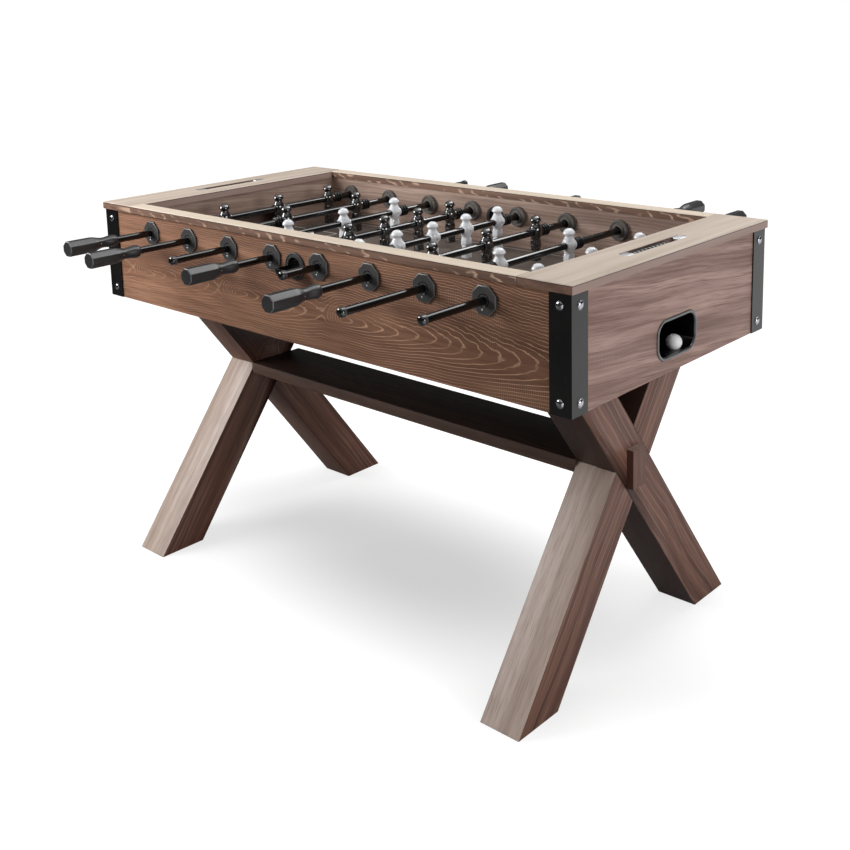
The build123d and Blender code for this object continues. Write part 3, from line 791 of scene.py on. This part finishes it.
handle = {"length": 127 * mm, "roundFrom": 62 * mm, "roundTo": 84 * mm, "screwAt": 79 * mm, "corner": 1.072,
          # start and end of the rim round the outer end, painted pale as a highlight
          "rimFrom": 0.1 * mm, "rim": 1.7 * mm,
          # distance from the flat outer end and half width, in mm
          "grip": ((0.0, 15.4), (1.8, 17.0), (30.0, 16.9), (60.0, 16.6), (69.0, 15.8), (77.0, 13.9), (84.0, 12.3),
                   (91.0, 11.8), (99.0, 12.4), (107.0, 13.5), (114.0, 14.2), (119.5, 14.0), (124.0, 12.6),
                   (127.0, 9.2))}
# the sunk screw in its side: distance from the grip's axis, its seat's radii and depths, and its head
handleSeat = {"out": 13.4 * mm, "radius": 3.6 * mm, "mouth": 2.9 * mm, "floor": 2.6 * mm, "root": 3 * mm,
              "proud": 0.5 * mm, "sunk": 0.6 * mm, "screw": 2.1 * mm, "screwHigh": 0.7 * mm}


def handleShape():
    line = [Vector((0.0, 0.0)), Vector(handle["grip"][0])] + smoothLine(handle["grip"][1:], 4)
    line = [(along * mm, half * mm) for along, half in line] + [(handle["length"], 0.0)]
    bm = turned(line, acrossTable, 64)
    facet = pi / 4
    for vert in bm.verts:
        round_ = min(max((vert.co.y - handle["roundFrom"]) / (handle["roundTo"] - handle["roundFrom"]), 0), 1)
        reach = Vector((vert.co.x, vert.co.z))
        if reach.length < mergeWithin:
            continue
        turn = reach.angle_signed(Vector((1, 0))) % facet
        flat = min(1 / cos(min(turn, facet - turn)), handle["corner"])
        grow = flat + (1 - flat) * round_
        vert.co.x *= grow
        vert.co.z *= grow
    # the rim round the outer end takes a painted highlight
    for face in bm.faces:
        if handle["rimFrom"] < face.calc_center_median().y < handle["rim"]:
            face.material_index = 1
    return bm


def seatShape():
    root, proud, sunk = handleSeat["root"], handleSeat["proud"], handleSeat["sunk"]
    return turned([(-root, 0), (-root, handleSeat["radius"]), (proud, handleSeat["radius"]),
                   (proud, handleSeat["mouth"]), (-sunk, handleSeat["floor"]), (-sunk, 0)], alongTable, 24)


def makeHandle(index, x, z, way):
    low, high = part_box(f"handle_{index}")
    turn = Matrix() if way > 0 else halfTurn
    place = at(x, low[1] if way > 0 else high[1], z) @ turn
    bm = bmesh.new()
    put(bm, handleShape(), [place])
    newPiece(f"handle{index}", bm, "handle handleRim", f"rod_{index}", [f"handle_{index}"],
             sharp=18)
    seat = bmesh.new()
    spot = place @ at(way * handleSeat["out"], handle["screwAt"], 0) @ turn
    put(seat, seatShape(), [spot])
    newPiece(f"handleSeat{index}", seat, "cap", f"rod_{index}")
    screw = bmesh.new()
    sunk = at(-handleSeat["screwHigh"], 0, 0)
    put(screw, screwHead(handleSeat["screw"], handleSeat["screwHigh"]), [spot @ sunk])
    newPiece(f"handleScrew{index}", screw, "steel", f"rod_{index}")


bumper = {"length": 25 * mm, "rib": 13.5 * mm, "groove": 9.6 * mm, "ribs": 3, "bore": 7.52 * mm,
          # where a rib starts, how much of the pitch it takes, and where its groove ends
          "ribFrom": 0.03, "ribShare": 0.74, "grooveTo": 0.97, "ribSteps": 10}


def bumperShape():
    pitch = bumper["length"] / bumper["ribs"]
    swell = bumper["rib"] - bumper["groove"]
    line = [(0.0, bumper["bore"])]
    for rib in range(bumper["ribs"]):
        start = rib * pitch
        for step in range(bumper["ribSteps"] + 1):
            share = step / bumper["ribSteps"]
            along = start + (bumper["ribFrom"] + share * bumper["ribShare"]) * pitch
            line.append((along, bumper["groove"] + swell * sqrt(sin(pi * share))))
        line.append((start + bumper["grooveTo"] * pitch, bumper["groove"]))
    line.append((bumper["length"], bumper["bore"]))
    return turned(line, acrossTable, 36)


def makeBumpers(index, x, z):
    low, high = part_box(f"bumpers_{index}")
    bm = bmesh.new()
    put(bm, bumperShape(), [at(x, low[1], z), at(x, high[1], z) @ halfTurn])
    newPiece(f"bumpers{index}", bm, "rubber", f"rod_{index}_carrier", [f"bumpers_{index}"], sharp=50)


rodPlaces = []
for index in range(1, 9):
    x, z = makeMen(index)
    way = makeRod(index, x, z)
    makeHandle(index, x, z, way)
    makeBumpers(index, x, z)
    rodPlaces.append((x, z))
print("rods made:", len(rodPlaces))


# Rod bearings: eight-sided flange with a deep mouth outside, ringed nut inside
bearing = {"half": 28 * mm, "thick": 5 * mm, "mouth": 11.4 * mm, "mouthDeep": 3.5 * mm, "clear": 0.05 * mm,
           "edge": 2.0 * mm, "nut": 25 * mm, "nutDeep": 11 * mm,
           "screwDrop": 17.5 * mm, "screwAside": 3 * mm, "screw": 2.0 * mm, "screwHigh": 0.8 * mm,
           # distance past the flange's face and the mouth's radius, in mm
           "mouthLine": ((-3.0, -1.2), (0.15, 0.0), (0.5, 0.5), (0.5, 1.6), (-0.5, 2.0)),
           # share of the nut's depth, and distance inside its radius in mm
           "nutLine": ((0.0, 0.0), (0.55, 0.0), (0.72, 0.8), (0.80, 2.2), (0.80, 5.5), (0.70, 6.2), (0.70, 9.0),
                       (0.78, 9.6), (0.95, 10.4), (1.0, 11.4), (1.0, 14.8), (0.6, 15.4), (0.6, 17.0))}


def flangeShape():
    bm = bmesh.new()
    corner = bearing["half"] / cos(pi / 8)
    bmesh.ops.create_circle(bm, cap_ends=True, segments=8, radius=corner)
    bmesh.ops.rotate(bm, cent=(0, 0, 0), matrix=Matrix.Rotation(pi / 8, 3, "Z"), verts=bm.verts)
    bmesh.ops.rotate(bm, cent=(0, 0, 0), matrix=Matrix.Rotation(pi / 2, 3, "X"), verts=bm.verts)
    made = bmesh.ops.extrude_face_region(bm, geom=bm.faces[:])
    moved = [item for item in made["geom"] if isinstance(item, bmesh.types.BMVert)]
    bmesh.ops.translate(bm, vec=(0, -bearing["thick"], 0), verts=moved)
    faceOutwards(bm)
    front = min(bm.faces, key=lambda face: face.calc_center_median().y)
    # the bevel round the flange's face takes a painted highlight
    for face in soften(bm, list(front.edges), bearing["edge"])["faces"]:
        face.material_index = 1
    return bm


def mouthShape():
    top = bearing["thick"]
    line = [(top - bearing["mouthDeep"], rod["radius"] + bearing["clear"])]
    line += [(top + past * mm, bearing["mouth"] + out * mm) for past, out in bearing["mouthLine"]]
    return turned([(-along, radius) for along, radius in line], acrossTable, 36)


def nutShape():
    line = [(share * bearing["nutDeep"], bearing["nut"] - inset * mm) for share, inset in bearing["nutLine"]]
    return turned(line, acrossTable, 44)


def makeBearings():
    flanges = bmesh.new()
    mouths = bmesh.new()
    nuts = bmesh.new()
    screws = bmesh.new()
    outside = [at(x, -wallOut, z) for x, z in rodPlaces] + [at(x, wallOut, z) @ halfTurn for x, z in rodPlaces]
    inside = [at(x, -wallIn, z) for x, z in rodPlaces] + [at(x, wallIn, z) @ halfTurn for x, z in rodPlaces]
    put(flanges, flangeShape(), outside)
    put(mouths, mouthShape(), outside)
    put(nuts, nutShape(), inside)
    toFront = Matrix.Rotation(-pi / 2, 4, "Z")
    spot = at(-bearing["screwAside"], -bearing["thick"], -bearing["screwDrop"])
    put(screws, screwHead(bearing["screw"], bearing["screwHigh"]), [place @ spot @ toFront for place in outside])
    newPiece("bearingFlanges", flanges, "bearing bearingRim", "cabinet", ["bearing_housings"],
             sharp=20)
    newPiece("bearingMouths", mouths, "pocket", "cabinet")
    newPiece("bearingNuts", nuts, "nut", "cabinet", ["bearing_nuts"], sharp=25)
    newPiece("bearingScrews", screws, "steel", "cabinet")


makeBearings()
print("bearings made")


# Serve cups: ringed flange, bore through the wall, open scoop outside
cup = {"flange": 30 * mm, "thick": 4 * mm, "bore": 19 * mm, "wall": 3 * mm, "spout": 34 * mm, "lap": 0.5 * mm,
       "ring": 27 * mm, "ringThick": 3 * mm, "ringEdge": 0.8 * mm, "ringInset": 1 * mm, "dark": 0.2 * mm,
       # distance out from the wall and inside the flange's radius, in mm
       "rimLine": ((0.0, 0.0), (2.6, 0.0), (3.6, 1.0), (4.0, 2.4), (4.0, 3.6), (3.0, 4.4), (3.0, 5.6), (4.0, 6.4),
                   (4.0, 9.6), (3.2, 11.0)),
       # distance past the scoop's end and inside its radius, in mm, for its hollow and its outside
       "scoopIn": ((-5.0, 0.0), (-1.5, 1.5), (0.0, 5.0)), "scoopOut": ((-2.0, 0.0), (1.5, 2.5), (3.0, 8.0))}


# painted shade: faces inside the bore and the scoop take the near-black second finish
def paintShadeInBore(bm):
    for face in bm.faces:
        spot = face.calc_center_median()
        if sqrt(spot.x ** 2 + spot.z ** 2) < cup["bore"] + cup["dark"]:
            face.material_index = 1
    return bm


def cupShape():
    wall = wallOut - wallIn
    outer = cup["bore"] + cup["wall"]
    line = [(0, outer)] + [(out * mm, cup["flange"] - inset * mm) for out, inset in cup["rimLine"]]
    line += [(-wall, cup["bore"]), (-wall, outer), (0, outer)]
    return paintShadeInBore(turned([(-along, radius) for along, radius in line], acrossTable, 48))


def scoopShape():
    start = cup["thick"] - cup["lap"]
    end = cup["thick"] + cup["spout"]
    bore = cup["bore"]
    outer = bore + cup["wall"]
    hollow = [(start, bore)] + [(end + past * mm, bore - inset * mm) for past, inset in cup["scoopIn"]] + [(end, 0)]
    outside = [(start, outer)] + [(end + past * mm, outer - inset * mm) for past, inset in cup["scoopOut"]]
    outside.append((end + cup["wall"], 0))
    bm = bmesh.new()
    verts = [bm.verts.new((-radius, -along, 0)) for along, radius in hollow + outside[::-1]]
    edges = [bm.edges.new(pair) for pair in zip(verts, verts[1:] + verts[:1])]
    bmesh.ops.spin(bm, geom=verts + edges, cent=(0, 0, 0), axis=(0, 1, 0), angle=-pi, steps=24, use_duplicate=False)
    mergePoints(bm)
    bmesh.ops.holes_fill(bm, edges=[edge for edge in bm.edges if edge.is_boundary], sides=0)
    faceOutwards(bm)
    return paintShadeInBore(bm)


def ringShape():
    bore, ring, thick = cup["bore"], cup["ring"], cup["ringThick"]
    low = thick - cup["ringEdge"]
    line = [(0, bore), (0, ring), (low, ring), (thick, ring - cup["ringInset"]),
            (thick, bore + cup["ringInset"]), (low, bore), (0, bore)]
    return turned(line, acrossTable, 48)


def makeCups():
    low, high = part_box("serve_cups")
    z = (low[2] + high[2]) / 2
    bm = bmesh.new()
    outside = [at(0, -wallOut, z), at(0, wallOut, z) @ halfTurn]
    inside = [at(0, -wallIn, z), at(0, wallIn, z) @ halfTurn]
    put(bm, cupShape(), outside)
    put(bm, scoopShape(), outside)
    put(bm, ringShape(), inside)
    newPiece("serveCups", bm, "bearing pocket", "cabinet", ["serve_cups"], sharp=28)


makeCups()
print("serve cups made")


# Ball pockets: rounded rim and a deep dark cup, open at the back to the chute
pocket = {"corner": 31 * mm, "rim": 7 * mm, "proud": 2.5 * mm, "deep": 40 * mm, "segments": 48}


def pocketLoft(levels):
    # rings of unit size, one step apart, then each sent to its depth, width, height and corner
    bm = bmesh.new()
    segments = pocket["segments"]
    ring = bmesh.ops.create_circle(bm, segments=segments, radius=1.0)["verts"]
    bmesh.ops.rotate(bm, cent=(0, 0, 0), matrix=Matrix.Rotation(pi / segments, 3, "Z"), verts=ring)
    edges = bm.edges[:]
    for _ in levels[1:]:
        made = bmesh.ops.extrude_edge_only(bm, edges=edges)["geom"]
        edges = [item for item in made if isinstance(item, bmesh.types.BMEdge)]
        moved = [item for item in made if isinstance(item, bmesh.types.BMVert)]
        bmesh.ops.translate(bm, vec=(0, 0, 1), verts=moved)
    for vert in bm.verts:
        x, width, height, corner = levels[round(vert.co.z)]
        y = vert.co.x * corner + (width / 2 - corner) * (1 if vert.co.x > 0 else -1)
        z = vert.co.y * corner + (height / 2 - corner) * (1 if vert.co.y > 0 else -1)
        vert.co = (x, y, z)
    faceOutwards(bm)
    return bm


def makePockets():
    low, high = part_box("ball_pockets")
    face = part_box("right_end_panel")[1][0]
    wide = high[1] - low[1]
    tall = high[2] - low[2]
    middle = (low[2] + high[2]) / 2
    rim = pocket["rim"]
    corner = pocket["corner"]
    proud = pocket["proud"]
    ends = [at(0, 0, middle), halfTurn @ at(0, 0, middle)]
    # distance from the table's middle and how far inside the pocket's outline
    ring = [(face, 0), (face + proud * 0.55, 0), (face + proud * 0.85, 0.5 * mm), (face + proud, 1.6 * mm),
            (face + proud, rim - 2.2 * mm), (face + proud * 0.7, rim - 0.8 * mm), (face - 0.5 * mm, rim),
            (face - 0.5 * mm, rim - 2 * mm)]
    levels = [(x, wide - 2 * inset, tall - 2 * inset, corner - inset) for x, inset in ring]
    rims = bmesh.new()
    put(rims, pocketLoft(levels), ends)
    newPiece("pocketRims", rims, "rim", "cabinet", ["ball_pockets"], sharp=40)
    back = high[0] - proud - pocket["deep"]
    deep = [(face - 0.4 * mm, rim - 1.0 * mm), (face - 0.8 * mm, rim), (back, rim), (back, rim - 1.8 * mm),
            (face - 0.4 * mm, rim - 1.8 * mm)]
    levels = [(x, wide - 2 * inset, tall - 2 * inset, corner - rim) for x, inset in deep]
    cups = bmesh.new()
    put(cups, pocketLoft(levels), ends)
    newPiece("pocketCups", cups, "pocket", "cabinet", sharp=40)


makePockets()


def makeBall():
    low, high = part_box("ball")
    bm = bmesh.new()
    radius = (high[2] - low[2]) / 2
    bmesh.ops.create_icosphere(bm, subdivisions=5, radius=radius)
    bmesh.ops.translate(bm, vec=(Vector(low) + Vector(high)) / 2, verts=bm.verts)
    newPiece("ball", bm, "ball", "ball", ["ball"])


makeBall()
print("pockets and ball made")


# Scorers: bright end blocks, a wire and ten ribbed beads
scorer = {"beads": 10, "beadLength": 12.6 * mm, "beadSize": 19 * mm, "beadShare": 0.74, "beadRound": 2.2 * mm,
          "spacerInset": 0.6 * mm, "wire": 2.5 * mm, "wireInto": 10 * mm, "block": 28 * mm, "blockRound": 3.0 * mm,
          "slot": 24 * mm, "slotGap": 0.2 * mm, "slotLength": 222 * mm}


def beadShape():
    length = scorer["beadLength"]
    size = scorer["beadSize"]
    bm = softBlock((size, length * scorer["beadShare"], size), scorer["beadRound"], 3)
    bmesh.ops.translate(bm, vec=(0, length * 0.5, 0), verts=bm.verts)
    return bm


def spacerShape():
    length = scorer["beadLength"]
    half = scorer["beadSize"] / 2 - scorer["spacerInset"]
    return turned([(0, 0), (0, half), (length, half), (length, 0)], acrossTable, 24)


def makeScorers():
    low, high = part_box("scorer_wires")
    slotMiddle = high[0] - scorer["slot"] / 2
    wires = bmesh.new()
    span = scorer["slotLength"] / 2 - scorer["block"] + scorer["wireInto"]
    beadLow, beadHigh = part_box("right_score_beads")
    z = (beadLow[2] + beadHigh[2]) / 2
    wireLine = [(-span, 0), (-span, scorer["wire"]), (span, scorer["wire"]), (span, 0)]
    put(wires, turned(wireLine, acrossTable, 20), [at(side * slotMiddle, 0, z) for side in (-1, 1)])
    tall = high[2] - low[2]
    block = softBlock((scorer["slot"] - scorer["slotGap"], scorer["block"], tall), scorer["blockRound"], 4)
    seats = [at(x * slotMiddle, y * (scorer["slotLength"] / 2 - scorer["block"] / 2), (low[2] + high[2]) / 2)
             for x in (-1, 1) for y in (-1, 1)]
    put(wires, block, seats)
    newPiece("scorerWires", wires, "steel", "cabinet", ["scorer_wires"])
    for name, side in (("left", -1), ("right", 1)):
        low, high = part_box(name + "_score_beads")
        step = (high[1] - low[1] - scorer["beadLength"]) / (scorer["beads"] - 1)
        places = [at(side * slotMiddle, low[1] + number * step, z) for number in range(scorer["beads"])]
        beads = bmesh.new()
        put(beads, beadShape(), places)
        newPiece(name + "Beads", beads, "bead", name + "_score", [name + "_score_beads"])
        spacers = bmesh.new()
        put(spacers, spacerShape(), places)
        newPiece(name + "Spacers", spacers, "tick", name + "_score")


makeScorers()
print("scorers made")


# Floor, light and camera
studio = {"floorReach": 14.0, "ambient": 0.20, "floorTone": 0.20,
          # the floor's own white, with painted shadow: least under the table, full outside an oval of these half
          # lengths
          "glowNear": 0.47, "glowFar": 1.0, "ovalX": 1.0, "ovalY": 0.45, "glowFrom": 0.1, "glowTo": 1.15,
          # and a painted soft shadow round each foot
          "footX": 0.562, "footY": 0.321, "footReach": 0.13, "footDim": 0.16,
          # what gloss mirrors: a painted reflection from the floor's bright right side, light overhead, dim low down
          "sideFrom": 0.4, "sideTo": 1.6, "sideGlow": 1.2, "skyLow": 0.08, "skyFrom": 0.45, "skyTo": 0.95}


def makeFloor():
    bm = bmesh.new()
    bmesh.ops.create_grid(bm, x_segments=1, y_segments=1, size=studio["floorReach"])
    mesh = bpy.data.meshes.new("floor")
    bm.to_mesh(mesh)
    bm.free()
    floor = bpy.data.objects.new("floor", mesh)
    bpy.context.scene.collection.objects.link(floor)
    finish, shader, place = newFinish("floorPaper")
    mesh.materials.append(finish)
    shader.inputs["Base Color"].default_value = (studio["floorTone"],) * 3 + (1.0,)
    shader.inputs["Roughness"].default_value = 0.9
    shader.inputs["Specular IOR Level"].default_value = 0.1
    shader.inputs["Emission Strength"].default_value = 1.0
    x, y, _ = place.parts()
    # painted shadow: the floor's white dims under the table and round each foot
    reach = reachOf(x / studio["ovalX"], y / studio["ovalY"]).rise(studio["glowFrom"], studio["glowTo"])
    glow = studio["glowNear"] + reach * (studio["glowFar"] - studio["glowNear"])
    feet = bell((abs(x) - studio["footX"]) / studio["footReach"], (abs(y) - studio["footY"]) / studio["footReach"])
    glow = glow - feet * studio["footDim"]
    # painted reflection: the floor's right side glows for glossy rays only
    side = x.rise(studio["sideFrom"], studio["sideTo"]) * studio["sideGlow"]
    seen = place.node("LightPath", {}, {}, "Is Camera Ray")
    mirrored = place.node("LightPath", {}, {}, "Is Glossy Ray")
    feed(shader, "Emission Color", seen * glow + mirrored * side)


def makeWorld():
    world = bpy.data.worlds.new("studio")
    world.use_nodes = True
    bpy.context.scene.world = world
    tree = world.node_tree
    direction = Wire(tree, tree.nodes.new("ShaderNodeTexCoord").outputs["Generated"])
    direct = direction.node("LightPath", {}, {}, "Is Camera Ray")
    glossy = direction.node("LightPath", {}, {}, "Is Glossy Ray")
    mirrored = glossy.larger(direction.node("LightPath", {}, {}, "Is Transmission Ray"))
    up = direction.parts()[2]
    sky = studio["skyLow"] + up.rise(studio["skyFrom"], studio["skyTo"]) * (1.0 - studio["skyLow"])
    plain = studio["ambient"] * (1.0 - direct) * (1.0 - mirrored)
    background = tree.nodes["Background"]
    background.inputs["Color"].default_value = (1.0, 1.0, 1.0, 1.0)
    feed(background, "Strength", direct + mirrored * sky + plain)


def makeLamp(name, place, target, wide, tall, power):
    lamp = bpy.data.lights.new(name, "AREA")
    lamp.shape = "RECTANGLE"
    lamp.size = wide
    lamp.size_y = tall
    lamp.energy = power
    shape = bpy.data.objects.new(name, lamp)
    shape.location = place
    shape.rotation_euler = (Vector(target) - Vector(place)).to_track_quat("-Z", "Y").to_euler()
    bpy.context.scene.collection.objects.link(shape)


makeFloor()
makeWorld()
# each lamp's place, what it points at, its width, height and watts
lamps = {
    "keyLamp": ((-1.8, -1.7, 1.8), (0, 0, 0.65), 1.6, 1.2, 74),
    "endLamp": ((5.2, -0.2, 1.5), (0.6, 0, 0.6), 2.4, 2.0, 106),
    "topLamp": ((0.6, 1.2, 3.3), (0.6, 0.2, 0.8), 1.6, 2.6, 48),
    "backLamp": ((0.2, 2.9, 3.3), (0, 0, 0.8), 2.4, 0.5, 22),
}
for name, lamp in lamps.items():
    makeLamp(name, *lamp)

view = {"focal": 1158.8, "width": 850, "eye": (1.80934, -1.8948, 1.36124), "forward": (-0.66798, 0.72067, -0.18559),
        "roll": -1.5, "shiftY": -0.247}


def makeCamera():
    lens = bpy.data.cameras.new("photoView")
    lens.sensor_width = 36.0
    lens.lens = view["focal"] / view["width"] * lens.sensor_width
    lens.shift_y = view["shiftY"]
    lens.clip_end = 100
    camera = bpy.data.objects.new("photoView", lens)
    turn = Vector(view["forward"]).to_track_quat("-Z", "Y").to_matrix().to_4x4()
    camera.matrix_world = Matrix.Translation(view["eye"]) @ turn @ Matrix.Rotation(radians(view["roll"]), 4, "Z")
    bpy.context.scene.collection.objects.link(camera)
    bpy.context.scene.camera = camera


makeCamera()
bpy.context.scene.view_settings.view_transform = "Standard"
print("stage and camera set")
